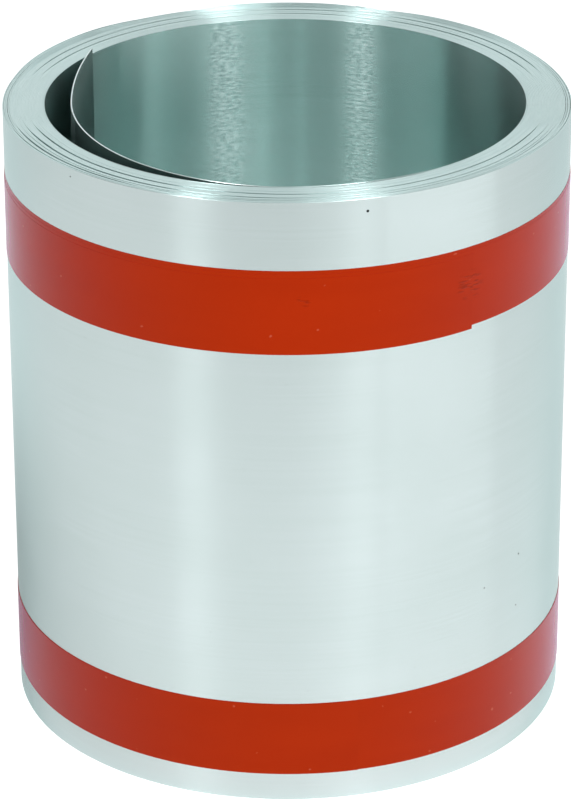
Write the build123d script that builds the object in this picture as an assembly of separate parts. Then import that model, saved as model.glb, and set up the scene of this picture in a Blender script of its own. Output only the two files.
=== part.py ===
from build123d import *
import os
from math import cos, pi, radians, sin, sqrt

# A roll of galvanized flashing standing on its end: one coiled strip of sheet, held by two bands of tape.
# Millimetres. +Z runs up the roll's axis and the origin is the centre of the lower end.
# Angles are degrees round the axis from +X, counted as seen from above, and the front is at -90.

# The strip as it is sold
STRIP_WIDTH = 203.2
STRIP_LENGTH = 15240.0
SHEET_THICKNESS = 0.4

# How it is wound, from which the outer size follows
BORE_DIAMETER = 150.0
TURN_GAP = 0.11
TURN_PITCH = SHEET_THICKNESS + TURN_GAP
BORE_RADIUS = BORE_DIAMETER / 2
ROLL_RADIUS = sqrt(BORE_RADIUS**2 + STRIP_LENGTH * TURN_PITCH / pi)
WALL = ROLL_RADIUS - BORE_RADIUS

# Seams where turns have opened on both ends, as shares of the wall from the bore out
WIDE_SEAM_SHARES = (0.40, 0.62, 0.82)
FINE_SEAM_SHARES = (0.20, 0.51, 0.71, 0.91)
WIDE_SEAM = 0.5
FINE_SEAM = 0.2
SEAM_DEPTH = 0.6

# The strip's outer end, lying on the turn below it at the back
OUTER_END_ANGLE = 75
OUTER_END_FADE_ANGLE = 60

# The loose inner end of the strip, sprung off the bore wall at the left
TAIL_ROOT_ANGLE = 268
TAIL_MIDDLE_ANGLE = 217
TAIL_BULGE_ANGLE = 184
TAIL_TIP_ANGLE = 147.5
TAIL_MIDDLE_STANDOFF = 4.35
TAIL_BULGE_STANDOFF = 6.8
TAIL_TIP_CLEARANCE = 0.3
TAIL_RISE = 1.8

# The two bands of tape, each wrapped more than once with a little drift
TAPE_WIDTH = 25.0
TAPE_THICKNESS = 0.15
UPPER_BAND_FROM_TOP = 21.5
UPPER_BAND_DRIFT = 1.2
UPPER_BAND_END_ANGLE = -51.4
LOWER_BAND_FROM_BOTTOM = 9.1
LOWER_BAND_DRIFT = 0.3
LOWER_BAND_END_ANGLE = -76
LAST_LAP_ANGLE = 215

# How far a cutting shape runs out past the face it cuts
OVERRUN = 1.0


def round_axis(radius, angle):
    """A point in plan from its radius and its angle."""
    return (radius * cos(radians(angle)), radius * sin(radians(angle)))


def wall_of_turns():
    """The wound turns as one turned ring with its bore."""
    section = Polygon(
        (BORE_RADIUS, 0), (ROLL_RADIUS, 0), (ROLL_RADIUS, STRIP_WIDTH), (BORE_RADIUS, STRIP_WIDTH), align=None
    )
    for share in WIDE_SEAM_SHARES:
        section -= seam_section(BORE_RADIUS + share * WALL, WIDE_SEAM)
    for share in FINE_SEAM_SHARES:
        section -= seam_section(BORE_RADIUS + share * WALL, FINE_SEAM)
    return revolve(Plane.XZ * section, Axis.Z)


def seam_section(radius, width):
    """The V grooves of one seam on the lower and the upper end, drawn out past both ends."""
    flare = width / 2 * (SEAM_DEPTH + OVERRUN) / SEAM_DEPTH
    lower = Polygon(
        (radius - flare, -OVERRUN), (radius + flare, -OVERRUN), (radius, SEAM_DEPTH), align=None
    )
    upper = Polygon(
        (radius - flare, STRIP_WIDTH + OVERRUN),
        (radius, STRIP_WIDTH - SEAM_DEPTH),
        (radius + flare, STRIP_WIDTH + OVERRUN),
        align=None,
    )
    return lower + upper


def loose_inner_end():
    """The first part of the strip: it leaves the bore wall, bows inward and comes back to rest by its tip."""
    root = round_axis(BORE_RADIUS + SHEET_THICKNESS / 2, TAIL_ROOT_ANGLE)
    middle = round_axis(BORE_RADIUS - TAIL_MIDDLE_STANDOFF, TAIL_MIDDLE_ANGLE)
    bulge = round_axis(BORE_RADIUS - TAIL_BULGE_STANDOFF, TAIL_BULGE_ANGLE)
    tip = round_axis(BORE_RADIUS - TAIL_TIP_CLEARANCE - SHEET_THICKNESS / 2, TAIL_TIP_ANGLE)
    bow = ThreePointArc(root, middle, bulge)
    run_out = TangentArc(bulge, tip, tangent=bow % 1)
    strip_edge = trace(bow + run_out, SHEET_THICKNESS)
    slope = TAIL_RISE / (tip[1] - root[1])
    edge_plane = Plane(origin=(0, 0, -slope * root[1]), x_dir=(1, 0, 0), z_dir=(0, -slope, 1))
    return extrude(edge_plane * strip_edge, amount=STRIP_WIDTH, dir=(0, 0, 1))


def outer_end_step():
    """What is cut away past the strip's outer end, down to the turn below, fading out along the wall."""
    clear = ROLL_RADIUS + OVERRUN
    last_angle = OUTER_END_ANGLE + OUTER_END_FADE_ANGLE
    middle_angle = (OUTER_END_ANGLE + last_angle) / 2
    floor = ThreePointArc(
        round_axis(ROLL_RADIUS - SHEET_THICKNESS, OUTER_END_ANGLE),
        round_axis(ROLL_RADIUS - SHEET_THICKNESS / 3, middle_angle),
        round_axis(ROLL_RADIUS + SHEET_THICKNESS / 3, last_angle),
    )
    outside = ThreePointArc(
        round_axis(clear, last_angle), round_axis(clear, middle_angle), round_axis(clear, OUTER_END_ANGLE)
    )
    plan = make_face([floor, Line(floor @ 1, outside @ 0), outside, Line(outside @ 1, floor @ 0)])
    return extrude(Pos(0, 0, -OVERRUN) * plan, amount=STRIP_WIDTH + 2 * OVERRUN)


def band_of_tape(lowest_edge, drift, end_angle):
    """Two full wraps and a last lap, each lower than the one under it by the drift."""
    inside = ROLL_RADIUS
    first_wrap = ring_section(inside, TAPE_THICKNESS, lowest_edge + 2 * drift)
    second_wrap = ring_section(inside, 2 * TAPE_THICKNESS, lowest_edge + drift)
    band = revolve(Plane.XZ * (first_wrap + second_wrap), Axis.Z)
    last_lap = revolve(Plane.XZ * ring_section(inside, 3 * TAPE_THICKNESS, lowest_edge), Axis.Z, LAST_LAP_ANGLE)
    return band + Rot(0, 0, end_angle - LAST_LAP_ANGLE) * last_lap


def ring_section(inside, thickness, lower_edge):
    """One wrap's section, from the strip's outer face out to its own outer face."""
    return Polygon(
        (inside, lower_edge),
        (inside + thickness, lower_edge),
        (inside + thickness, lower_edge + TAPE_WIDTH),
        (inside, lower_edge + TAPE_WIDTH),
        align=None,
    )


flashing_roll = wall_of_turns() - outer_end_step() + loose_inner_end()

upper_lowest_edge = STRIP_WIDTH - UPPER_BAND_FROM_TOP - TAPE_WIDTH - 2 * UPPER_BAND_DRIFT
upper_tape = band_of_tape(upper_lowest_edge, UPPER_BAND_DRIFT, UPPER_BAND_END_ANGLE)
lower_tape = band_of_tape(LOWER_BAND_FROM_BOTTOM, LOWER_BAND_DRIFT, LOWER_BAND_END_ANGLE)

os.makedirs("parts", exist_ok=True)
export_step(flashing_roll, "parts/flashing_roll.step")
export_step(upper_tape, "parts/upper_tape.step")
export_step(lower_tape, "parts/lower_tape.step")
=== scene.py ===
# %% [markdown]
# # A roll of galvanized flashing
# The object is one long strip of zinc-coated sheet steel, wound into a roll that stands on its end, with
# two bands of red tape that keep it from springing open. The CAD model already has the true size and
# place of each piece. This lesson dresses it: the turns of the strip, its two ends, the tape, the finish
# of each, and a plain white studio.

import math

import bmesh
import bpy
import numpy as np
from mathutils import Matrix


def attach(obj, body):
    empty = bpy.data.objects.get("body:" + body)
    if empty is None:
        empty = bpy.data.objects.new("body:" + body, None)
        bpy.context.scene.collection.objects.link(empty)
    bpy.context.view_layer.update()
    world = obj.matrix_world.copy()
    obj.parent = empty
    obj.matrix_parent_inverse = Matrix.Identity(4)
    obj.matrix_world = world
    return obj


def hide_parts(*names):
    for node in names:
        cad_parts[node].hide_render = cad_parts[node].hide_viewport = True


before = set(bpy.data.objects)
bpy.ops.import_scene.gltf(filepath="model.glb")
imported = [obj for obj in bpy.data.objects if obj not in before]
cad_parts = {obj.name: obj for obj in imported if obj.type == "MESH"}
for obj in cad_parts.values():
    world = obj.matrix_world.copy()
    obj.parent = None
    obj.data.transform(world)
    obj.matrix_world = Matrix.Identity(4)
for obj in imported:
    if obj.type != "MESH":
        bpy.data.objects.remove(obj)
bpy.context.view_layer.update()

# %% [markdown]
# ## The strip's real sizes
# Blender works in metres, and sheet metal is measured in millimetres, so one factor turns one into the
# other. These are the same sizes as in the CAD source. The outer radius isn't typed in: it follows from
# the length of strip that is wound on the bore. Angles are degrees round the axis from the right, counted
# as seen from above, so the front is at -90.

# %% Sizes of the strip and of the roll
MM = 0.001
STRIP_WIDTH = 203.2 * MM
STRIP_LENGTH = 15240 * MM
SHEET = 0.40 * MM
TURN_PITCH = 0.51 * MM
BORE_RADIUS = 75.0 * MM
ROLL_RADIUS = math.sqrt(BORE_RADIUS**2 + STRIP_LENGTH * TURN_PITCH / math.pi)
ROOT_ANGLE = 268
OUTER_END_ANGLE = 75
FULL_TURNS = 29
TURNS = FULL_TURNS + (OUTER_END_ANGLE + 360 - ROOT_ANGLE) / 360
print(f"outer radius {ROLL_RADIUS / MM:.2f} mm, {TURNS:.2f} turns")

# %% [markdown]
# ## Small tools for nodes
# Colours are written as the sRGB hex values that a colour picker shows, and Blender's shaders want linear
# light, so one function converts them. Node trees are built with one function that adds a node, sets its
# settings and makes its links, for shaders and Geometry Nodes alike. Two nodes have inputs that are best
# called by number: Map Range takes a value (0), the range that it comes from (1 and 2) and the one that
# it goes to (3 and 4), and Mix takes two colours (6 and 7) and gives its own as output 2.

# %% Colour and node helpers
SMOOTH = {"interpolation_type": "SMOOTHSTEP"}
COLOURS = {"data_type": "RGBA"}


def linear(hex_code):
    """An sRGB hex colour as linear RGBA."""
    srgb = [int(hex_code[i : i + 2], 16) / 255 for i in (1, 3, 5)]
    return [c / 12.92 if c <= 0.04045 else ((c + 0.055) / 1.055) ** 2.4 for c in srgb] + [1.0]


def add(tree, kind, settings=None, inputs=None):
    """Adds a node. An input is a value, a socket that it is linked from, or a node, for its first one."""
    node = tree.nodes.new(kind)
    for key, value in (settings or {}).items():
        setattr(node, key, value)
    for key, value in (inputs or {}).items():
        if isinstance(value, bpy.types.Node):
            value = value.outputs[0]
        if isinstance(value, bpy.types.NodeSocket):
            tree.links.new(value, node.inputs[key])
        else:
            node.inputs[key].default_value = value
    return node


def new_material(name):
    """An empty node material and its tree."""
    material = bpy.data.materials.new(name)
    material.use_nodes = True
    material.node_tree.nodes.clear()
    return material, material.node_tree


def marks(tree, flat_map, along, across, detail):
    """Uneven marks on a map in metres, so many millimetres long and wide."""
    per_metre = (1 / (along * MM), 1 / (across * MM), 1)
    sized = add(tree, "ShaderNodeVectorMath", {"operation": "MULTIPLY"}, {0: flat_map, 1: per_metre})
    return add(tree, "ShaderNodeTexNoise", {}, {"Vector": sized, "Scale": 1.0, "Detail": detail})


print("mid grey in linear light:", round(linear("#808080")[0], 3))

# %% [markdown]
# ## Galvanized sheet steel
# The strip is cold-rolled steel with a zinc coat. Rolling leaves fine marks along the strip, so light
# spreads across them much more than along them: that is why a roll of it shows upright bands of light.
# The anisotropic part of the shader does this, with its tangent taken from the strip's own UV map, in
# which U runs along the strip and V across it. The map is in metres, so every pattern below is scaled
# from a size in millimetres. Real rolling marks are far finer than a pixel, so the streaks are drawn 0.9
# mm wide. One function makes three sides. The outer one is silver with a few dark flecks. The inner one
# has two scuffed bands, which break a reflected lamp into glints, and is painted a little paler and
# greener than the outer one, as painted light in the bore. The side of the loose end that faces the wall
# is painted dark, as painted shade.


# %% A metal that was rolled along the strip
def rolled_metal(tree, values):
    """Ends a material as a metal that spreads light across the strip."""
    tangent = add(tree, "ShaderNodeTangent", {"direction_type": "UV_MAP", "uv_map": "strip"})
    rolled = {"Metallic": 1.0, "Anisotropic": 1.0, "Anisotropic Rotation": 0.25, "Tangent": tangent}
    shader = add(tree, "ShaderNodeBsdfPrincipled", {}, {**rolled, **values})
    add(tree, "ShaderNodeOutputMaterial", {}, {"Surface": shader})


def on_wall(degrees, height):
    """A point on the outside of the roll."""
    angle = math.radians(degrees)
    return (ROLL_RADIUS * math.cos(angle), ROLL_RADIUS * math.sin(angle), height)


print("the front of the wall is at", [round(c, 3) for c in on_wall(-90, STRIP_WIDTH / 2)])


# %% The zinc finish of the strip's faces
def zinc_finish(name, darker, paler, glancing, smooth, dull, scuffed=(), flecks=()):
    """Zinc-coated steel between two tones and two roughnesses, with scuffed bands and dark flecks."""
    material, tree = new_material(name)
    strip_map = add(tree, "ShaderNodeUVMap", {"uv_map": "strip"})
    on_roll = add(tree, "ShaderNodeTexCoord").outputs["Object"]
    streaks = marks(tree, strip_map, 70, 0.9, 3.0)
    clouds = marks(tree, strip_map, 38, 26, 2.0)
    specks = marks(tree, strip_map, 2.2, 1.6, 0.0)
    tone = add(tree, "ShaderNodeMath", {"operation": "ADD"}, {0: streaks, 1: clouds})
    spread = add(tree, "ShaderNodeMapRange", {}, {0: tone, 1: 0.7, 2: 1.3})
    dots = add(tree, "ShaderNodeMapRange", SMOOTH, {0: specks, 1: 0.925, 2: 0.935})
    spots = [(dots, "#6f7c7a")]
    for degrees, height, size in flecks:
        middle = on_wall(degrees, height)
        apart = add(tree, "ShaderNodeVectorMath", {"operation": "DISTANCE"}, {0: on_roll, 1: middle})
        fading = {0: apart.outputs["Value"], 1: 0.3 * size, 2: 0.5 * size, 3: 1.0, 4: 0.0}
        spots.append((add(tree, "ShaderNodeMapRange", {}, fading), "#1a2121"))
    tones = {"Factor": spread, 6: linear(darker), 7: linear(paler)}
    coat = add(tree, "ShaderNodeMix", COLOURS, tones).outputs[2]
    for spot, colour in spots:
        coat = add(tree, "ShaderNodeMix", COLOURS, {"Factor": spot, 6: coat, 7: linear(colour)}).outputs[2]
    roughness = add(tree, "ShaderNodeMapRange", {}, {0: tone, 1: 0.6, 2: 1.4, 3: smooth, 4: dull})
    if scuffed:
        ripples = marks(tree, strip_map, 2.2, 0.7, 1.0)
        swing = add(tree, "ShaderNodeMapRange", {}, {0: ripples, 1: 0.35, 2: 0.65, 3: -0.14, 4: 0.14})
        sideways = add(tree, "ShaderNodeSeparateXYZ", {}, {0: on_roll}).outputs["X"]
    for middle, half_width in scuffed:
        band = {0: sideways, 1: middle, 2: half_width}
        inside = add(tree, "ShaderNodeMath", {"operation": "COMPARE"}, band)
        broken = add(tree, "ShaderNodeMath", {"operation": "MULTIPLY_ADD"}, {0: inside, 1: swing, 2: 1.0})
        roughness = add(tree, "ShaderNodeMath", {"operation": "MULTIPLY"}, {0: roughness, 1: broken})
    relief = add(tree, "ShaderNodeBump", {}, {"Height": streaks, "Strength": 0.3, "Distance": 0.004 * MM})
    silver = {"Base Color": coat, "Specular Tint": linear(glancing), "Roughness": roughness}
    rolled_metal(tree, {**silver, "Normal": relief})
    print(name, "has", len(tree.nodes), "nodes")
    return material


# %% The three sides of the strip
# Each fleck has its angle round the roll, its height and its size
FLECKS = (
    (-74.6, 200.1 * MM, 1.1 * MM),
    (-137.0, 201.3 * MM, 0.6 * MM),
    (-35.4, 68.0 * MM, 0.8 * MM),
    (-46.5, 62.5 * MM, 0.6 * MM),
    (-36.0, 50.0 * MM, 0.6 * MM),
)
# Each scuffed band has its middle, counted from the axis to the right, and half its width
SCUFFED = ((-19.8 * MM, 5.7 * MM), (24.2 * MM, 4.7 * MM))
zinc_outside = zinc_finish(
    "galvanized sheet steel, outer side", "#c4d2d1", "#cad7d7", "#eefdfd", 0.205, 0.235, flecks=FLECKS
)
# The inner side is painted a little paler and greener than the outer side: painted light in the bore.
zinc_inside = zinc_finish(
    "galvanized sheet steel, inner side", "#c5dcd9", "#cbe0de", "#ffffff", 0.22, 0.245, scuffed=SCUFFED
)
# The side of the loose end that faces the wall is painted dark: painted shade.
zinc_painted_shade = zinc_finish("galvanized sheet steel, side in painted shade", "#7f9a97", "#88a29f", "#ffffff", 0.22, 0.245)

# %% [markdown]
# ## The sheared edge of the strip
# The strip was slit from a wider coil, so its long edges are bare cut metal, paler and a little duller
# than the faces. All the turns' edges lie side by side on each end of the roll and read as one pale ring.
# The edge of the loose end is painted paler, as a painted highlight. The marks of the shears are too fine
# to show, so the grain is drawn 0.3 mm wide.


# %% The finish of the cut edges
def edge_finish(name, darker, paler):
    """Bare cut steel between two tones, with a fine grain along the edge."""
    material, tree = new_material(name)
    strip_map = add(tree, "ShaderNodeUVMap", {"uv_map": "strip"})
    grain = marks(tree, strip_map, 9, 0.3, 2.0)
    tones = {"Factor": grain, 6: linear(darker), 7: linear(paler)}
    bare = add(tree, "ShaderNodeMix", COLOURS, tones).outputs[2]
    roughness = add(tree, "ShaderNodeMapRange", {}, {0: grain, 1: 0.3, 2: 0.7, 3: 0.28, 4: 0.34})
    rolled_metal(tree, {"Base Color": bare, "Roughness": roughness})
    print(name, "has", len(tree.nodes), "nodes")
    return material


cut_edge = edge_finish("sheared steel edge", "#b5cfce", "#d1e4e3")
# The loose end's edge is painted paler: a painted highlight.
edge_painted_highlight = edge_finish("steel edge with a painted highlight", "#e4f4f4", "#f0fbfb")

# %% [markdown]
# ## The tape
# The bands are plain PVC packing tape: a smooth glossy film, red with a little orange in it. Seen square
# on it shows its own colour. Towards the sides of the roll it mirrors the white room and turns crimson,
# which the sheen gives it. Small pimples come from dust under the film, and there are two patches of
# short creases, a large one where its end was rubbed down and a small one to the left of it. In the
# folds the film is painted a darker red, as painted shade.

# %% The finish of the tape: haze, pimples and slack
red_film, tree = new_material("red PVC packing tape")
tape_map = add(tree, "ShaderNodeUVMap", {"uv_map": "tape"})
haze = marks(tree, tape_map, 45, 12, 2.0)
waves = marks(tree, tape_map, 9, 16, 1.0)
dust = marks(tree, tape_map, 2.4, 2.0, 0.0)
folds = marks(tree, tape_map, 5, 0.9, 1.0)
pimples = add(tree, "ShaderNodeMapRange", SMOOTH, {0: dust, 1: 0.83, 2: 0.88})
reds = {"Factor": haze, 6: linear("#a52304"), 7: linear("#af2905")}
film = add(tree, "ShaderNodeMix", COLOURS, reds).outputs[2]
faint = add(tree, "ShaderNodeMath", {"operation": "MULTIPLY"}, {0: pimples, 1: 0.4})
film = add(tree, "ShaderNodeMix", COLOURS, {"Factor": faint, 6: film, 7: linear("#d0715a")}).outputs[2]
slack = add(tree, "ShaderNodeBump", {}, {"Height": waves, "Strength": 0.2, "Distance": 0.05 * MM})
raised = {"Height": pimples, "Strength": 0.5, "Distance": 0.06 * MM, "Normal": slack}
relief = add(tree, "ShaderNodeBump", {}, raised)
print(red_film.name, "so far:", len(tree.nodes), "nodes")

# %% The finish of the tape: creases and shader
# Each creased patch has its angle round the roll, its height and its reach
CREASED = ((-52.0, 169.4 * MM, 6.0 * MM), (-87.0, 172.3 * MM, 2.5 * MM))
folds = add(tree, "ShaderNodeMapRange", SMOOTH, {0: folds, 1: 0.52, 2: 0.62})
on_roll = add(tree, "ShaderNodeTexCoord").outputs["Object"]
for degrees, height, reach in CREASED:
    middle = on_wall(degrees, height)
    apart = add(tree, "ShaderNodeVectorMath", {"operation": "DISTANCE"}, {0: on_roll, 1: middle})
    fading = {0: apart.outputs["Value"], 1: 0.5 * reach, 2: reach, 3: 1.0, 4: 0.0}
    patch = add(tree, "ShaderNodeMapRange", {}, fading)
    crease = add(tree, "ShaderNodeMath", {"operation": "MULTIPLY"}, {0: folds, 1: patch})
    raised = {"Height": crease, "Strength": 0.6, "Distance": 0.08 * MM, "Normal": relief}
    relief = add(tree, "ShaderNodeBump", {}, raised)
    # Painted shade: in the folds the film is mixed towards a darker red.
    faint = add(tree, "ShaderNodeMath", {"operation": "MULTIPLY"}, {0: crease, 1: 0.6})
    film = add(tree, "ShaderNodeMix", COLOURS, {"Factor": faint, 6: film, 7: linear("#7a1903")}).outputs[2]
roughness = add(tree, "ShaderNodeMapRange", {}, {0: haze, 1: 0.3, 2: 0.7, 3: 0.13, 4: 0.2})
glossy_film = {
    "Base Color": film,
    "Roughness": roughness,
    "IOR": 1.43,
    "Specular Tint": linear("#ff9040"),
    "Sheen Weight": 0.27,
    "Sheen Roughness": 0.35,
    "Sheen Tint": linear("#a020ff"),
    "Normal": relief,
}
shader = add(tree, "ShaderNodeBsdfPrincipled", {}, glossy_film)
add(tree, "ShaderNodeOutputMaterial", {}, {"Surface": shader})
print(red_film.name, "has", len(tree.nodes), "nodes")

# %% [markdown]
# ## How the turns lie
# The roll is wound by hand tension, so it isn't perfectly round inside: the bore is a little wider from
# left to right. There the turns lie evenly and close. Towards the front and the back they have more room,
# and in a few places the strip has slipped and left a gap between one turn and the next, which shows on
# the ends as a dark line. Each gap is given by the turn where it opens, and by how far it opens in
# millimetres at the back right, the back left, the front left and the front right.

# %% The radius of the strip after any number of turns
SEAMS = (
    (4.6, (0.00, 0.00, 0.12, 0.10)),
    (8.2, (0.05, 0.05, 0.20, 0.10)),
    (12.2, (0.75, 0.60, 0.80, 0.60)),
    (18.6, (0.75, 0.60, 0.80, 0.35)),
    (21.7, (0.00, 0.00, 0.30, 0.25)),
    (23.9, (0.12, 0.15, 0.85, 0.45)),
    (27.46, (0.05, 0.05, 0.55, 0.60)),
)
# A gap opens over this share of a turn
SEAM_EASE = 0.04
MEAN_PITCH = (ROLL_RADIUS - SHEET - BORE_RADIUS) / TURNS
# How much wider the bore is from left to right, and how much of that is more at the left
WIDER, LEFTWARD = 0.95 * MM, 0.42 * MM
# The share of the way to the front or the back up to which gaps are closed, and from which they are open
CLOSED_TO, OPEN_FROM = 0.22, 0.48
# Half the stretch over which a gap changes from one quarter to the next, as a share of the radius
HALF_CHANGE = 0.25


def ease(x):
    """A smooth step from 0 to 1."""
    x = np.clip(x, 0, 1)
    return x * x * (3 - 2 * x)


def turn_radius(turns):
    """Radius of the middle of the sheet after so many turns from the root of its loose end."""
    angle = np.radians(ROOT_ANGLE + 360 * turns)
    oval = (WIDER - LEFTWARD * np.cos(angle)) * np.cos(angle) ** 2 * (1 - turns / TURNS)
    room = ease((np.abs(np.sin(angle)) - CLOSED_TO) / (OPEN_FROM - CLOSED_TO))
    right, front = (ease(0.5 + side / (2 * HALF_CHANGE)) for side in (np.cos(angle), -np.sin(angle)))
    slipped = 0.0
    for turn, (back_right, back_left, front_left, front_right) in SEAMS:
        back_gap = back_left + (back_right - back_left) * right
        front_gap = front_left + (front_right - front_left) * right
        gap = (back_gap + (front_gap - back_gap) * front) * MM
        slipped = slipped + gap * (ease((turns - turn) / SEAM_EASE) - turns / TURNS)
    return BORE_RADIUS + SHEET / 2 + oval + turns * MEAN_PITCH + room * slipped


print(f"the turns are {MEAN_PITCH / MM:.3f} mm apart on average, with {len(SEAMS)} gaps that have opened")

# %% How far the last turns have crept up
# Each place has the angle of its middle, how far it reaches to each side in degrees, and its rise
CREPT = (
    (90, 22, 0.75 * MM),
    (145, 24, 0.7 * MM),
    (48, 20, 0.45 * MM),
    (235, 50, 0.85 * MM),
    (305, 50, 1.0 * MM),
)
CREPT_TURNS = 8


def creep(degrees):
    """How far the last turn has crept up past the others at an angle."""
    rise = 0.0
    for middle, reach, height in CREPT:
        near = np.cos(np.radians(degrees - middle))
        far = math.cos(math.radians(reach))
        rise = rise + height * ease((near - far) / (1 - far))
    return rise


print(f"the last turn stands up to {creep(np.arange(360)).max() / MM:.2f} mm above the others")

# %% [markdown]
# ## The turns on the two ends
# Only the long edges of the middle turns can be seen, so only a shallow band of each is made. It is a
# spiral with a small rounded section swept along it, which is a rule, so Geometry Nodes make it: the
# spiral primitive gives the points, Set Position gives each one its radius from the same values as above,
# a noise lets the edges stand unevenly, and Curve to Mesh sweeps the section. The lower end is the same
# spiral near the floor. The tape below is wound in the same way, so the steps that both trees share are
# functions.


# %% Steps that both winding trees share
def tree_with_inputs(name, sizes, finish):
    """A Geometry Nodes tree with an input for each size and one for the finish, and its given values."""
    tree = bpy.data.node_groups.new(name, "GeometryNodeTree")
    tree.interface.new_socket("Geometry", in_out="OUTPUT", socket_type="NodeSocketGeometry")
    for label in sizes:
        tree.interface.new_socket(label, in_out="INPUT", socket_type="NodeSocketFloat")
    tree.interface.new_socket(finish, in_out="INPUT", socket_type="NodeSocketMaterial")
    return tree, add(tree, "NodeGroupInput").outputs


def spiral_points(tree, per_turn, turns):
    """The points of a spiral. Its own radii don't matter, because each point is given a place later."""
    drawn = {"Resolution": per_turn, "Rotations": turns, "Height": 0.0}
    radii = {"Start Radius": BORE_RADIUS, "End Radius": ROLL_RADIUS}
    return add(tree, "GeometryNodeCurveSpiral", {}, {**drawn, **radii})


def sweep(tree, points, place, section, caps=False):
    """Puts the points in their place, keeps the run along them and sweeps a section along the line."""
    line = add(tree, "GeometryNodeSetPosition", {}, {"Geometry": points, "Position": place})
    line = add(tree, "GeometryNodeSetCurveNormal", {"mode": "Z_UP"}, {"Curve": line})
    run = add(tree, "GeometryNodeSplineParameter").outputs["Length"]
    kept = {"Geometry": line, "Name": "run", "Value": run}
    line = add(tree, "GeometryNodeStoreNamedAttribute", {"domain": "POINT"}, kept)
    swept = {"Curve": line, "Profile Curve": section, "Fill Caps": caps}
    return add(tree, "GeometryNodeCurveToMesh", {}, swept)


def map_and_finish(tree, geometry, map_name, finish):
    """Lays the run and the height flat as a UV map, sets the finish and ends the tree."""
    run = add(tree, "GeometryNodeInputNamedAttribute", {"data_type": "FLOAT"}, {"Name": "run"})
    position = add(tree, "GeometryNodeInputPosition")
    upright = add(tree, "ShaderNodeSeparateXYZ", {}, {0: position}).outputs["Z"]
    flat = add(tree, "ShaderNodeCombineXYZ", {}, {"X": run, "Y": upright})
    on_corners = {"data_type": "FLOAT2", "domain": "CORNER"}
    kept = {"Geometry": geometry, "Name": map_name, "Value": flat}
    mapped = add(tree, "GeometryNodeStoreNamedAttribute", on_corners, kept)
    whole = add(tree, "GeometryNodeRealizeInstances", {}, {"Geometry": mapped})
    finished = add(tree, "GeometryNodeSetMaterial", {}, {"Geometry": whole, "Material": finish})
    add(tree, "NodeGroupOutput", {}, {"Geometry": finished})
    print(tree.name, "has", len(tree.nodes), "nodes")


# %% The tree that winds the middle turns
EDGE_DEPTH = 1.2 * MM
# An edge is a little wider than the sheet, for the burr that the shears leave
EDGE_WIDTH = 0.46 * MM
POINTS_PER_TURN = 120
wind_inputs = {
    "First Radius": BORE_RADIUS + SHEET / 2,
    "Mean Pitch": MEAN_PITCH,
    "Wider": WIDER,
    "Leftward": LEFTWARD,
    "Turns": TURNS - 2,
    "Root Angle": math.radians(ROOT_ANGLE),
    "Sheet Thickness": EDGE_WIDTH,
    "Edge Depth": EDGE_DEPTH,
    "Edge Round": 0.07 * MM,
    "Uneven Edges": 0.14 * MM,
    "Strip Width": STRIP_WIDTH,
}
wind, given = tree_with_inputs("wind the middle turns", wind_inputs, "Edge Finish")
spiral = spiral_points(wind, POINTS_PER_TURN, given["Turns"])
count = add(wind, "GeometryNodeInputIndex")
counted = {0: count, 1: 1 / POINTS_PER_TURN, 2: 1.0}
turns = add(wind, "ShaderNodeMath", {"operation": "MULTIPLY_ADD"}, counted)
turned = {0: turns, 1: 2 * math.pi, 2: given["Root Angle"]}
angle = add(wind, "ShaderNodeMath", {"operation": "MULTIPLY_ADD"}, turned)
cosine = add(wind, "ShaderNodeMath", {"operation": "COSINE"}, {0: angle})
sine = add(wind, "ShaderNodeMath", {"operation": "SINE"}, {0: angle})
print("winding tree so far:", len(wind.nodes), "nodes")

# %% The same tree: the oval bore
sideways = add(wind, "ShaderNodeMath", {"operation": "POWER"}, {0: cosine, 1: 2.0})
leaning = add(wind, "ShaderNodeMath", {"operation": "MULTIPLY"}, {0: cosine, 1: given["Leftward"]})
oval = add(wind, "ShaderNodeMath", {"operation": "SUBTRACT"}, {0: given["Wider"], 1: leaning})
oval = add(wind, "ShaderNodeMath", {"operation": "MULTIPLY"}, {0: oval, 1: sideways})
inward = add(wind, "ShaderNodeMapRange", {}, {0: turns, 1: 0.0, 2: TURNS, 3: 1.0, 4: 0.0})
widened = {0: oval, 1: inward, 2: given["First Radius"]}
first = add(wind, "ShaderNodeMath", {"operation": "MULTIPLY_ADD"}, widened)
even = {0: turns, 1: given["Mean Pitch"], 2: first}
radius = add(wind, "ShaderNodeMath", {"operation": "MULTIPLY_ADD"}, even)
print("winding tree so far:", len(wind.nodes), "nodes")

# %% The same tree: the opened seams
frontward = add(wind, "ShaderNodeMath", {"operation": "ABSOLUTE"}, {0: sine})
room = add(wind, "ShaderNodeMapRange", SMOOTH, {0: frontward, 1: CLOSED_TO, 2: OPEN_FROM})
right = add(wind, "ShaderNodeMapRange", SMOOTH, {0: cosine, 1: -HALF_CHANGE, 2: HALF_CHANGE})
front = add(wind, "ShaderNodeMapRange", SMOOTH, {0: sine, 1: HALF_CHANGE, 2: -HALF_CHANGE})
wound_share = add(wind, "ShaderNodeMath", {"operation": "DIVIDE"}, {0: turns, 1: TURNS})
slipped = 0.0
for turn, (back_right, back_left, front_left, front_right) in SEAMS:
    back_gap = add(wind, "ShaderNodeMapRange", {}, {0: right, 3: back_left * MM, 4: back_right * MM})
    front_gap = add(wind, "ShaderNodeMapRange", {}, {0: right, 3: front_left * MM, 4: front_right * MM})
    gap = add(wind, "ShaderNodeMapRange", {}, {0: front, 3: back_gap, 4: front_gap})
    seam = add(wind, "ShaderNodeMapRange", SMOOTH, {0: turns, 1: turn, 2: turn + SEAM_EASE})
    seam = add(wind, "ShaderNodeMath", {"operation": "SUBTRACT"}, {0: seam, 1: wound_share})
    slipped = add(wind, "ShaderNodeMath", {"operation": "MULTIPLY_ADD"}, {0: seam, 1: gap, 2: slipped})
radius = add(wind, "ShaderNodeMath", {"operation": "MULTIPLY_ADD"}, {0: room, 1: slipped, 2: radius})
print("winding tree so far:", len(wind.nodes), "nodes")

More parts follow.
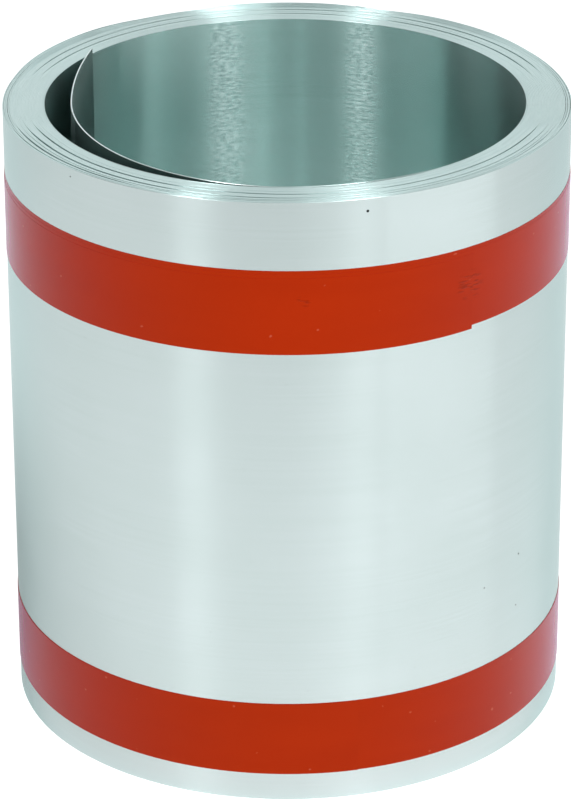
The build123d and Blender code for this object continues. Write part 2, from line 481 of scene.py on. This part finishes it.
# %% The same tree: the last turns
# They lie out against the outermost turn, until the last of them runs in under it
SETTLED = 0.28 * MM
SETTLES_FROM, SETTLES_TO = TURNS - 4.5, TURNS - 2
LEAVES_FROM, LEAVES_TO = TURNS - 1.7, TURNS - 1.4
settling = {0: turns, 1: SETTLES_FROM, 2: SETTLES_TO, 3: 0.0, 4: SETTLED}
settles = add(wind, "ShaderNodeMapRange", SMOOTH, settling)
leaves = add(wind, "ShaderNodeMapRange", SMOOTH, {0: turns, 1: LEAVES_FROM, 2: LEAVES_TO, 3: 1.0, 4: 0.0})
radius = add(wind, "ShaderNodeMath", {"operation": "MULTIPLY_ADD"}, {0: settles, 1: leaves, 2: radius})
x = add(wind, "ShaderNodeMath", {"operation": "MULTIPLY"}, {0: radius, 1: cosine})
y = add(wind, "ShaderNodeMath", {"operation": "MULTIPLY"}, {0: radius, 1: sine})
print("winding tree so far:", len(wind.nodes), "nodes")

# %% The same tree: how high the edges stand
WAVES_PER_TURN = 1.7
waving = {"W": turns, "Scale": WAVES_PER_TURN, "Detail": 1.0}
uneven = add(wind, "ShaderNodeTexNoise", {"noise_dimensions": "1D"}, waving)
drop = add(wind, "ShaderNodeMath", {"operation": "MULTIPLY"}, {0: uneven, 1: given["Uneven Edges"]})
half_depth = add(wind, "ShaderNodeMath", {"operation": "MULTIPLY"}, {0: given["Edge Depth"], 1: 0.5})
inset = add(wind, "ShaderNodeMath", {"operation": "ADD"}, {0: drop, 1: half_depth})
crept = 0.0
for middle, reach, height in CREPT:
    away = add(wind, "ShaderNodeMath", {"operation": "SUBTRACT"}, {0: angle, 1: math.radians(middle)})
    near = add(wind, "ShaderNodeMath", {"operation": "COSINE"}, {0: away})
    rising = {0: near, 1: math.cos(math.radians(reach)), 2: 1.0, 3: 0.0, 4: height}
    rise = add(wind, "ShaderNodeMapRange", SMOOTH, rising)
    crept = add(wind, "ShaderNodeMath", {"operation": "ADD"}, {0: crept, 1: rise})
outward = add(wind, "ShaderNodeMapRange", SMOOTH, {0: turns, 1: TURNS - CREPT_TURNS, 2: TURNS - 1})
standing = {0: crept, 1: outward, 2: given["Strip Width"]}
stands = add(wind, "ShaderNodeMath", {"operation": "MULTIPLY_ADD"}, standing)
top_height = add(wind, "ShaderNodeMath", {"operation": "SUBTRACT"}, {0: stands, 1: inset})
print("winding tree so far:", len(wind.nodes), "nodes")

# %% The same tree: section, both ends and finish
oblong = {"Width": given["Sheet Thickness"], "Height": given["Edge Depth"]}
section = add(wind, "GeometryNodeCurvePrimitiveQuadrilateral", {"mode": "RECTANGLE"}, oblong)
rounded = {"Curve": section, "Radius": given["Edge Round"], "Count": 2}
section = add(wind, "GeometryNodeFilletCurve", {"mode": "POLY"}, rounded)
ends = []
for height in (top_height, inset):
    place = add(wind, "ShaderNodeCombineXYZ", {}, {"X": x, "Y": y, "Z": height})
    ends.append(sweep(wind, spiral, place, section))
joined = add(wind, "GeometryNodeJoinGeometry")
for end in reversed(ends):
    wind.links.new(end.outputs[0], joined.inputs[0])
map_and_finish(wind, joined, "strip", given["Edge Finish"])

# %% [markdown]
# ## From a node tree to a plain mesh
# A modifier's result only exists while the modifier does. The last step of each tree is therefore the
# same: put the tree on an empty mesh, set its named inputs, read the evaluated result as a new mesh and
# take the modifier off.


# %% Evaluate a tree once and keep its mesh
def grow(name, group, values):
    """An object whose mesh is what the tree makes of these named inputs."""
    holder = bpy.data.objects.new(name, bpy.data.meshes.new(name))
    bpy.context.scene.collection.objects.link(holder)
    modifier = holder.modifiers.new("grow", "NODES")
    modifier.node_group = group
    for item in group.interface.items_tree:
        if item.item_type == "SOCKET" and item.in_out == "INPUT" and item.name in values:
            modifier[item.identifier] = values[item.name]
    bpy.context.view_layer.update()
    graph = bpy.context.evaluated_depsgraph_get()
    grown = holder.evaluated_get(graph)
    mesh = bpy.data.meshes.new_from_object(grown, preserve_all_data_layers=True, depsgraph=graph)
    holder.modifiers.clear()
    holder.data = mesh
    return holder


middle_turns = grow("middle_turns", wind, {**wind_inputs, "Edge Finish": cut_edge})
print("middle turns:", len(middle_turns.data.polygons), "faces")

# %% [markdown]
# ## The sheet where it is seen whole
# The outermost and the innermost turn show their full faces, and so does the loose inner end. Each is a
# sheet of even thickness that follows a line in plan, so one function sweeps a slim section along a row
# of points. The two broad faces get a zinc finish and the narrow ones the cut edge, and the UV map
# follows the strip.

# %% Sweep the sheet along a line in plan
EDGE_BEVEL = 0.1 * MM
OUTWARD_FACE, EDGE_FACE, INWARD_FACE, LOOSE_EDGE_FACE = range(4)


def sheet_along(name, plan, top_lift, foot_lift, finishes):
    """A closed strip of sheet along plan points, with its upper and its lower edge each lifted."""
    step = np.gradient(plan, axis=0)
    step /= np.linalg.norm(step, axis=1)[:, None]
    side = np.column_stack([step[:, 1], -step[:, 0]])
    run = np.concatenate([[0], np.cumsum(np.linalg.norm(np.diff(plan, axis=0), axis=1))])
    half, bevel, top = SHEET / 2, EDGE_BEVEL, STRIP_WIDTH
    section = [(half, bevel), (half, top - bevel), (half - bevel, top), (bevel - half, top)]
    section += [(-half, top - bevel), (-half, bevel), (bevel - half, 0), (half - bevel, 0)]
    mesh, sides = bmesh.new(), len(section)
    uv = mesh.loops.layers.uv.new("strip")
    rings = []
    for point, across, up, foot in zip(plan, side, top_lift, foot_lift):
        corners = [(*(point + across * out), z + foot + (up - foot) * z / top) for out, z in section]
        rings.append([mesh.verts.new(corner) for corner in corners])
    for i in range(len(rings) - 1):
        for j in range(sides):
            k = (j + 1) % sides
            face = mesh.faces.new((rings[i][j], rings[i + 1][j], rings[i + 1][k], rings[i][k]))
            face.material_index = {0: OUTWARD_FACE, 4: INWARD_FACE}.get(j, EDGE_FACE)
            for loop, u in zip(face.loops, (run[i], run[i + 1], run[i + 1], run[i])):
                loop[uv].uv = (u, loop.vert.co.z)
    for ring in (rings[0], rings[-1]):
        mesh.faces.new(ring).material_index = EDGE_FACE
    bmesh.ops.recalc_face_normals(mesh, faces=mesh.faces)
    sheet = bpy.data.meshes.new(name)
    mesh.to_mesh(sheet)
    mesh.free()
    for finish in finishes:
        sheet.materials.append(finish)
    piece = bpy.data.objects.new(name, sheet)
    bpy.context.scene.collection.objects.link(piece)
    return piece


def round_axis(radius, degrees):
    """Plan points from radii and angles."""
    return np.column_stack([radius * np.cos(np.radians(degrees)), radius * np.sin(np.radians(degrees))])


print("sheet section:", round(SHEET / MM, 2), "by", round(STRIP_WIDTH / MM, 1), "mm")

# %% [markdown]
# ## The outermost turn
# Its end lies on the turn below at the back of the roll, held down by the tape, and shows as one upright
# edge. Past that edge the wall is lower by the pitch of one turn, and it comes back out to the full
# radius over a sixth of a turn. At the back and at the front the upper edge of this turn has crept up a
# little past the others, as the last turns of a roll often do, while its lower edge stays on the floor.

# %% The outer turn with its end
OUTER_FADE = 60
OUTER_POINTS = 241
past_end = np.linspace(0, 360, OUTER_POINTS)
outer_step = TURN_PITCH * (1 - ease(past_end / OUTER_FADE))
outer_plan = round_axis(ROLL_RADIUS - SHEET / 2 - outer_step, OUTER_END_ANGLE + past_end)
upper_edge = creep(OUTER_END_ANGLE + past_end)
outer_finishes = (zinc_outside, cut_edge, zinc_outside)
outer_turn = sheet_along("outer_turn", outer_plan, upper_edge, 0 * upper_edge, outer_finishes)
print("outer turn:", len(outer_turn.data.polygons), "faces")

# %% [markdown]
# ## The loose inner end
# The first stretch of the strip was never pressed against a core. It has sprung off the bore wall at the
# left, bows inward, runs nearly straight and rests by its tip, which also stands a little proud of the
# end. In plan it is an arc through three points and a second arc that carries on from the first, as in
# the CAD source. Its edge is painted paler, as a painted highlight, and the side that faces the wall near
# the root is painted dark, as painted shade.


# %% Arcs in plan
def arc(first, centre, sweep_angle, count):
    """Points along an arc from its first point."""
    turned = np.linspace(0, sweep_angle, count)
    x, y = first - centre
    cosines, sines = np.cos(turned), np.sin(turned)
    return centre + np.column_stack([x * cosines - y * sines, x * sines + y * cosines])


def centre_of(a, b, c):
    """Centre of the circle through three points."""
    return np.linalg.solve(2 * np.array([b - a, c - a]), np.array([b @ b - a @ a, c @ c - a @ a]))


def turned_from(a, b):
    """The signed angle from one direction to another."""
    return math.atan2(a[0] * b[1] - a[1] * b[0], a @ b)


MIDDLE_ANGLE, BULGE_ANGLE, TIP_ANGLE = 217, 184, 147.5
MIDDLE_STANDOFF, BULGE_STANDOFF = 4.35 * MM, 6.8 * MM
# The tip runs out to the wall, which is a little wider here than the plain bore
TIP_RUN_OUT = 0.2 * MM
BOW_POINTS, RUN_OUT_POINTS = 90, 40
root, middle, bulge, tip = round_axis(
    BORE_RADIUS + np.array([SHEET / 2, -MIDDLE_STANDOFF, -BULGE_STANDOFF, TIP_RUN_OUT]),
    np.array([ROOT_ANGLE, MIDDLE_ANGLE, BULGE_ANGLE, TIP_ANGLE]),
)
hub = centre_of(root, middle, bulge)
bow = arc(root, hub, turned_from(root - hub, bulge - hub), BOW_POINTS)
heading = (bow[-1] - bow[-2]) / np.linalg.norm(bow[-1] - bow[-2])
reach = tip - bulge
aside = np.array([-heading[1], heading[0]])
far_hub = bulge + aside * (reach @ reach) / (2 * (reach @ aside))
run_out = arc(bulge, far_hub, turned_from(bulge - far_hub, tip - far_hub), RUN_OUT_POINTS)
arc_radii = [np.linalg.norm(root - hub) / MM, np.linalg.norm(tip - far_hub) / MM]
print("the bow and the run-out have radii of", [round(r, 1) for r in arc_radii], "mm")

# %% The inner turn and its loose end as one line
TIP_RISE = 2.5 * MM
# A little more than a turn, so that it runs on past the start of the middle turns
WHOLE_SHEET_TURNS, TURN_POINTS = 1.02, 130
first_turn = np.linspace(0, WHOLE_SHEET_TURNS, TURN_POINTS)
first_plan = round_axis(turn_radius(first_turn), ROOT_ANGLE + 360 * first_turn)
inner_plan = np.vstack([run_out[:0:-1], bow[::-1], first_plan[1:]])
loose_points = len(run_out) + len(bow) - 1
climb = TIP_RISE * (inner_plan[:, 1] - root[1]) / (tip[1] - root[1])
lift = np.maximum(np.where(np.arange(len(inner_plan)) < loose_points, climb, 0), 0)
# The bend at the root is eased: each point moves towards its neighbours, a few times over
ROOT_REACH, ROOT_EASINGS = 13, 8
near_root = inner_plan[loose_points - ROOT_REACH : loose_points + ROOT_REACH]
for _ in range(ROOT_EASINGS):
    near_root[1:-1] = (near_root[:-2] + 2 * near_root[1:-1] + near_root[2:]) / 4
print("inner turn and loose end:", len(inner_plan), "points")

# %% The inner turn and its loose end as one sheet
CLEAR_OF_WALL = 0.1 * MM
# From the root up to this line across the roll, the side of the loose end that faces the wall is painted
# dark as painted shade.
PAINTED_SHADE_UP_TO = -20 * MM
inner_finishes = (zinc_painted_shade, cut_edge, zinc_inside, edge_painted_highlight)
inner_turn = sheet_along("inner_turn", inner_plan, lift, lift, inner_finishes)
for face in inner_turn.data.polygons:
    off_wall = face.center.xy.length < BORE_RADIUS - CLEAR_OF_WALL
    if face.material_index == EDGE_FACE and off_wall:
        face.material_index = LOOSE_EDGE_FACE
    if face.material_index == OUTWARD_FACE and face.center.x < 0 and face.center.y > PAINTED_SHADE_UP_TO:
        face.material_index = INWARD_FACE
print("inner turn and loose end:", len(inner_turn.data.polygons), "faces")

# %% [markdown]
# ## The dark floor of the gaps
# Between the turns one looks down a slit that is as deep as the roll. A ring just under the edges closes
# the slits where no light would come back anyway, so that nothing can be seen through the roll. Its
# near-black colour is painted shade, and too dull to shine.

# %% Rings that close the slits
SPOKES = 120
RING_DEPTH = 0.9 * EDGE_DEPTH
slit_shade, tree = new_material("near-black painted shade")
cloudy = add(tree, "ShaderNodeTexNoise", {}, {"Scale": 1 / (6 * MM), "Detail": 2.0})
# Painted shade: two near-black tones for the floor of the slits.
darks = {"Factor": cloudy, 6: linear("#172120"), 7: linear("#232d2c")}
painted_dark = add(tree, "ShaderNodeMix", COLOURS, darks).outputs[2]
shader = add(tree, "ShaderNodeBsdfPrincipled", {}, {"Base Color": painted_dark, "Roughness": 0.8})
add(tree, "ShaderNodeOutputMaterial", {}, {"Surface": shader})
rings = bmesh.new()
rings.loops.layers.uv.new("strip")
spokes = np.linspace(0, 360, SPOKES, endpoint=False)
inner_radii = turn_radius((spokes - ROOT_ANGLE) % 360 / 360)
outer_radii = np.full(SPOKES, ROLL_RADIUS - TURN_PITCH - SHEET / 2)
for height, order in ((STRIP_WIDTH - RING_DEPTH, 1), (RING_DEPTH, -1)):
    inside, outside = (
        [rings.verts.new((*point, height)) for point in round_axis(radii, spokes)]
        for radii in (inner_radii, outer_radii)
    )
    for i in range(SPOKES):
        j = (i + 1) % SPOKES
        rings.faces.new((inside[i], outside[i], outside[j], inside[j])[::order])
slit_floors = bpy.data.objects.new("slit_floors", bpy.data.meshes.new("slit_floors"))
rings.to_mesh(slit_floors.data)
rings.free()
slit_floors.data.materials.append(slit_shade)
bpy.context.scene.collection.objects.link(slit_floors)
print("slit floors:", len(slit_floors.data.polygons), "faces")

# %% [markdown]
# ## One strip
# All of this is one strip of metal on the real roll, so it becomes one piece that stands for the CAD
# roll. Edges sharper than 35 degrees stay crisp and everything else is shaded smooth.

# %% Join the strip and hand it to the frame
CRISP_ANGLE = math.radians(35)


def shade(piece):
    """Smooth shading with crisp edges."""
    piece.data.polygons.foreach_set("use_smooth", [True] * len(piece.data.polygons))
    piece.data.set_sharp_from_angle(angle=CRISP_ANGLE)


with bpy.context.temp_override(
    active_object=inner_turn, selected_editable_objects=[inner_turn, outer_turn, middle_turns, slit_floors]
):
    bpy.ops.object.join()
inner_turn.name = inner_turn.data.name = "coiled_strip"
shade(inner_turn)
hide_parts("flashing_roll")
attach(inner_turn, "root")
print("coiled strip:", sum(len(p.vertices) - 2 for p in inner_turn.data.polygons), "triangles")

# %% [markdown]
# ## The bands of tape
# Tape goes on as a spiral that grows by its own thickness at each wrap and drifts a little down the roll,
# so its end leaves a small jog in the band's edge. This is a rule again, so a second tree winds it, from
# the wraps, the drift and the angle of the end. It dips where it runs off the strip's outer end onto the
# turn below.

# %% The tree that wraps a band
TAPE_WIDTH, FILM = 25.0 * MM, 0.06 * MM
POINTS_PER_WRAP = 180
# The tape stays this far off the foot of the step
STEP_SLACK = 0.05 * MM
band_sizes = {
    "Wall Radius": ROLL_RADIUS,
    "Tape Width": TAPE_WIDTH,
    "Film Thickness": FILM,
    "Wraps": 2.6,
    "Step Depth": TURN_PITCH - STEP_SLACK,
}
bands = {
    "upper_tape": {"Drift": 1.2 * MM, "End Angle": math.radians(-51.4), "Last Middle": 167.05 * MM},
    "lower_tape": {"Drift": 0.1 * MM, "End Angle": math.radians(-76), "Last Middle": 21.85 * MM},
}
wrap, given = tree_with_inputs("wrap a band of tape", [*band_sizes, *bands["upper_tape"]], "Film")
spiral = spiral_points(wrap, POINTS_PER_WRAP, given["Wraps"])
count = add(wrap, "GeometryNodeInputIndex")
sized = add(wrap, "GeometryNodeAttributeDomainSize", {"component": "CURVE"}, {"Geometry": spiral})
points = sized.outputs["Point Count"]
last = add(wrap, "ShaderNodeMath", {"operation": "SUBTRACT"}, {0: points, 1: 1.0})
share = add(wrap, "ShaderNodeMath", {"operation": "DIVIDE"}, {0: count, 1: last})
wraps = add(wrap, "ShaderNodeMath", {"operation": "MULTIPLY"}, {0: share, 1: given["Wraps"]})
left = add(wrap, "ShaderNodeMath", {"operation": "SUBTRACT"}, {0: given["Wraps"], 1: wraps})
turned = {0: left, 1: -2 * math.pi, 2: given["End Angle"]}
angle = add(wrap, "ShaderNodeMath", {"operation": "MULTIPLY_ADD"}, turned)
print("wrapping tree so far:", len(wrap.nodes), "nodes")

# %% The same tree: the dip past the strip's outer end
FALL_ANGLE = 10
# Whole turns that keep the angle past the step above zero
WHOLE_TURNS = 4
past = {0: angle, 1: 0.5 / math.pi, 2: WHOLE_TURNS - OUTER_END_ANGLE / 360}
past_step = add(wrap, "ShaderNodeMath", {"operation": "MULTIPLY_ADD"}, past)
past_step = add(wrap, "ShaderNodeMath", {"operation": "FRACT"}, {0: past_step})
falls = add(wrap, "ShaderNodeMapRange", SMOOTH, {0: past_step, 2: FALL_ANGLE / 360})
rises = add(wrap, "ShaderNodeMapRange", SMOOTH, {0: past_step, 2: OUTER_FADE / 360, 3: 1.0, 4: 0.0})
dip = add(wrap, "ShaderNodeMath", {"operation": "MULTIPLY"}, {0: falls, 1: rises})
dip = add(wrap, "ShaderNodeMath", {"operation": "MULTIPLY"}, {0: dip, 1: given["Step Depth"]})
layers = add(wrap, "ShaderNodeMath", {"operation": "ADD"}, {0: wraps, 1: 0.5})
built_up = {0: layers, 1: given["Film Thickness"], 2: given["Wall Radius"]}
radius = add(wrap, "ShaderNodeMath", {"operation": "MULTIPLY_ADD"}, built_up)
radius = add(wrap, "ShaderNodeMath", {"operation": "SUBTRACT"}, {0: radius, 1: dip})
print("wrapping tree so far:", len(wrap.nodes), "nodes")

# %% The same tree: place, section and finish
cosine = add(wrap, "ShaderNodeMath", {"operation": "COSINE"}, {0: angle})
sine = add(wrap, "ShaderNodeMath", {"operation": "SINE"}, {0: angle})
x = add(wrap, "ShaderNodeMath", {"operation": "MULTIPLY"}, {0: radius, 1: cosine})
y = add(wrap, "ShaderNodeMath", {"operation": "MULTIPLY"}, {0: radius, 1: sine})
drifting = {0: left, 1: given["Drift"], 2: given["Last Middle"]}
z = add(wrap, "ShaderNodeMath", {"operation": "MULTIPLY_ADD"}, drifting)
place = add(wrap, "ShaderNodeCombineXYZ", {}, {"X": x, "Y": y, "Z": z})
oblong = {"Width": given["Film Thickness"], "Height": given["Tape Width"]}
section = add(wrap, "GeometryNodeCurvePrimitiveQuadrilateral", {"mode": "RECTANGLE"}, oblong)
swept = sweep(wrap, spiral, place, section, caps=True)
map_and_finish(wrap, swept, "tape", given["Film"])

# %% Wrap both bands
for node, values in bands.items():
    band = grow("band_" + node, wrap, {**band_sizes, **values, "Film": red_film})
    shade(band)
    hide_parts(node)
    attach(band, "root")
    print(band.name, "has", len(band.data.polygons), "faces")

# %% [markdown]
# ## The studio
# The roll stands on a white floor in a white room. To the camera both are white, and the floor still
# takes the roll's shadow. The metal mirrors a dimmer floor, whose glow is painted: a painted shadow at the
# left foot of the roll, painted shade far in front of it, and a little less glow away from the roll.
# Inside the bore the floor's glow is painted brightest in a ring next to the wall, as painted light. The
# room is white near the horizon and straight overhead, and dimmer between, so that the lamps stand out in
# the metal as upright bands.


# %% What an eye or a mirror sees of the studio
def seen_by(tree, path):
    """1 where the camera, a mirror or glass sees the studio, and 0 where it only gives light."""
    eye_or_mirror = {0: path["Is Camera Ray"], 1: path["Is Glossy Ray"]}
    seen = add(tree, "ShaderNodeMath", {"operation": "ADD"}, eye_or_mirror)
    or_glass = {0: seen, 1: path["Is Transmission Ray"]}
    return add(tree, "ShaderNodeMath", {"operation": "ADD", "use_clamp": True}, or_glass)


FLOOR_HALF = 6.0
floor_mesh = bpy.data.meshes.new("studio_floor")
corners = [(x * FLOOR_HALF, y * FLOOR_HALF, 0) for x, y in ((-1, -1), (1, -1), (1, 1), (-1, 1))]
floor_mesh.from_pydata(corners, [], [(0, 1, 2, 3)])
floor = bpy.data.objects.new("studio_floor", floor_mesh)
bpy.context.scene.collection.objects.link(floor)
print("the floor is", 2 * FLOOR_HALF, "m wide")

# %% The white floor
# The floor's glow in the metal has a painted shadow at the left foot, and changes between each pair of
# places, in metres
LEFT_FOOT = (-0.12, 0.06, 0)
NEAR_FOOT, CLEAR_OF_FOOT = 0.04, 0.18
NEAR_AXIS, FAR_FROM_AXIS = 0.36, 0.66
NEAR_FRONT, FAR_FRONT = -0.35, -0.56
RING_FROM, RING_TO = 55 * MM, 59 * MM
# How bright the floor is to the camera, over the light that falls on it
FLOOR_GLOW = 0.8
white_floor, tree = new_material("white studio floor")
path = add(tree, "ShaderNodeLightPath").outputs
seen = seen_by(tree, path)
place = add(tree, "ShaderNodeTexCoord").outputs["Object"]
from_axis = add(tree, "ShaderNodeVectorMath", {"operation": "LENGTH"}, {0: place}).outputs["Value"]
from_foot = add(tree, "ShaderNodeVectorMath", {"operation": "DISTANCE"}, {0: place, 1: LEFT_FOOT})
# Painted shadow and shade in the floor's glow: dim at the left foot, less away from the roll, and far in
# front.
by_foot = {0: from_foot.outputs["Value"], 1: NEAR_FOOT, 2: CLEAR_OF_FOOT, 3: 0.12, 4: 0.5}
painted_floor_shade = add(tree, "ShaderNodeMapRange", {}, by_foot)
away = {0: from_axis, 1: NEAR_AXIS, 2: FAR_FROM_AXIS, 3: 1.0, 4: 0.8}
further = add(tree, "ShaderNodeMapRange", {}, away)
depth = add(tree, "ShaderNodeSeparateXYZ", {}, {0: place}).outputs["Y"]
in_front = add(tree, "ShaderNodeMapRange", {}, {0: depth, 1: NEAR_FRONT, 2: FAR_FRONT, 3: 1.0, 4: 0.25})
# Painted light: inside the bore the floor's glow is brightest in a ring next to the wall.
painted_bore_glow = add(tree, "ShaderNodeMapRange", {}, {0: from_axis, 1: RING_FROM, 2: RING_TO, 3: 0.48, 4: 1.0})
painted_floor_shade = add(tree, "ShaderNodeMath", {"operation": "MULTIPLY"}, {0: painted_floor_shade, 1: further})
painted_floor_shade = add(tree, "ShaderNodeMath", {"operation": "MULTIPLY"}, {0: painted_floor_shade, 1: in_front})
around = add(tree, "ShaderNodeMapRange", {}, {0: path["Is Camera Ray"], 3: painted_floor_shade, 4: FLOOR_GLOW})
bore_to_wall = {0: from_axis, 1: BORE_RADIUS, 2: ROLL_RADIUS, 3: painted_bore_glow, 4: around}
glow = add(tree, "ShaderNodeMapRange", {}, bore_to_wall)
glow = add(tree, "ShaderNodeMath", {"operation": "MULTIPLY"}, {0: seen, 1: glow})
dull_white = {"Base Color": linear("#d6d6d6"), "Roughness": 0.9, "Specular IOR Level": 0.0}
glowing = {"Emission Color": (1, 1, 1, 1), "Emission Strength": glow}
shader = add(tree, "ShaderNodeBsdfPrincipled", {}, {**dull_white, **glowing})
add(tree, "ShaderNodeOutputMaterial", {}, {"Surface": shader})
floor_mesh.materials.append(white_floor)
print(white_floor.name, "has", len(tree.nodes), "nodes")

# %% The white room
# The strength of the room's own light on the roll
ROOM_LIGHT = 0.27
# Sines of the angle up: where the white walls end and the dim ceiling begins, and where it is white again
WALLS_TO, CEILING_FROM = 0.1, 0.36
DIM_TO, OVERHEAD_FROM = 0.75, 0.95
# At the back the white reaches higher, by this much
BACK_REACH = 1.5
CEILING_LEVEL = 0.22
white_room = bpy.data.worlds.new("white room")
bpy.context.scene.world = white_room
white_room.use_nodes = True
tree = white_room.node_tree
tree.nodes.clear()
seen = seen_by(tree, add(tree, "ShaderNodeLightPath").outputs)
generated = add(tree, "ShaderNodeTexCoord").outputs["Generated"]
towards = add(tree, "ShaderNodeSeparateXYZ", {}, {0: generated}).outputs
behind = add(tree, "ShaderNodeMath", {"operation": "MAXIMUM"}, {0: towards["Y"], 1: 0.0})
leaning_back = {0: behind, 1: -BACK_REACH, 2: towards["Z"]}
upward = add(tree, "ShaderNodeMath", {"operation": "MULTIPLY_ADD"}, leaning_back)
brightening = {0: towards["Z"], 1: DIM_TO, 2: OVERHEAD_FROM, 3: 0.0, 4: 1 - CEILING_LEVEL}
overhead = add(tree, "ShaderNodeMapRange", {}, brightening)
dimming = {0: upward, 1: WALLS_TO, 2: CEILING_FROM, 3: 1.0, 4: CEILING_LEVEL}
ceiling = add(tree, "ShaderNodeMapRange", {}, dimming)
ceiling = add(tree, "ShaderNodeMath", {"operation": "ADD", "use_clamp": True}, {0: ceiling, 1: overhead})
level = add(tree, "ShaderNodeMapRange", {}, {0: seen, 3: ROOM_LIGHT, 4: ceiling})
white = add(tree, "ShaderNodeBackground", {}, {"Color": (1, 1, 1, 1), "Strength": level})
add(tree, "ShaderNodeOutputWorld", {}, {"Surface": white})
print(white_room.name, "has", len(tree.nodes), "nodes")

# %% Two strips and a fill high over the front, and a softbox at the right
LAMP_DISTANCE = 1.8
# Each lamp has its angle to the right of the front, its angle up, its width and height, and its radiance
LAMPS = (
    ("left_strip", -41, 42, 0.36, 0.75, 15),
    ("right_fill", 17, 42, 0.42, 0.75, 4),
    ("right_strip", 33, 42, 0.4, 0.75, 14),
    ("right_softbox", 62, 8, 1.6, 0.5, 2.2),
)
for name, azimuth, elevation, width, height, radiance in LAMPS:
    lamp = bpy.data.lights.new(name, "AREA")
    lamp.shape, lamp.size, lamp.size_y = "RECTANGLE", width, height
    lamp.energy = radiance * math.pi * width * height
    holder = bpy.data.objects.new(name, lamp)
    holder.matrix_world = (
        Matrix.Translation((0, 0, STRIP_WIDTH / 2))
        @ Matrix.Rotation(math.radians(azimuth), 4, "Z")
        @ Matrix.Rotation(math.radians(90 - elevation), 4, "X")
        @ Matrix.Translation((0, 0, LAMP_DISTANCE))
    )
    bpy.context.scene.collection.objects.link(holder)
    print(name, "at", [round(c, 2) for c in holder.matrix_world.translation])

# %% [markdown]
# ## The camera
# The camera was fitted to the outlines of the roll and its tape: a long lens, looking down by about 25
# degrees. The image is taken as 571 by 800 pixels. The fit gave the focal length in pixels, and the
# camera's place in radii of the fitted roll.

# %% Camera
IMAGE_HEIGHT = 800
FOCAL_PIXELS = 4103.9
SENSOR = 36
FITTED_RADIUS = 89.87 * MM
CAMERA_PLACE = (-0.0086 * FITTED_RADIUS, -13.5627 * FITTED_RADIUS, 7.3677 * FITTED_RADIUS)
# Degrees looking down, and radians of roll about the line of sight
LOOKING_DOWN, ROLLED = 24.834, -0.0029
view = bpy.data.cameras.new("camera")
view.sensor_width = SENSOR
view.lens = FOCAL_PIXELS / IMAGE_HEIGHT * SENSOR
camera = bpy.data.objects.new("camera", view)
aim = Matrix.Rotation(math.radians(90 - LOOKING_DOWN), 4, "X") @ Matrix.Rotation(ROLLED, 4, "Z")
camera.matrix_world = Matrix.Translation(CAMERA_PLACE) @ aim
bpy.context.scene.collection.objects.link(camera)
bpy.context.scene.camera = camera
bpy.context.scene.view_settings.view_transform = "Standard"
print("lens", round(view.lens, 1), "mm")
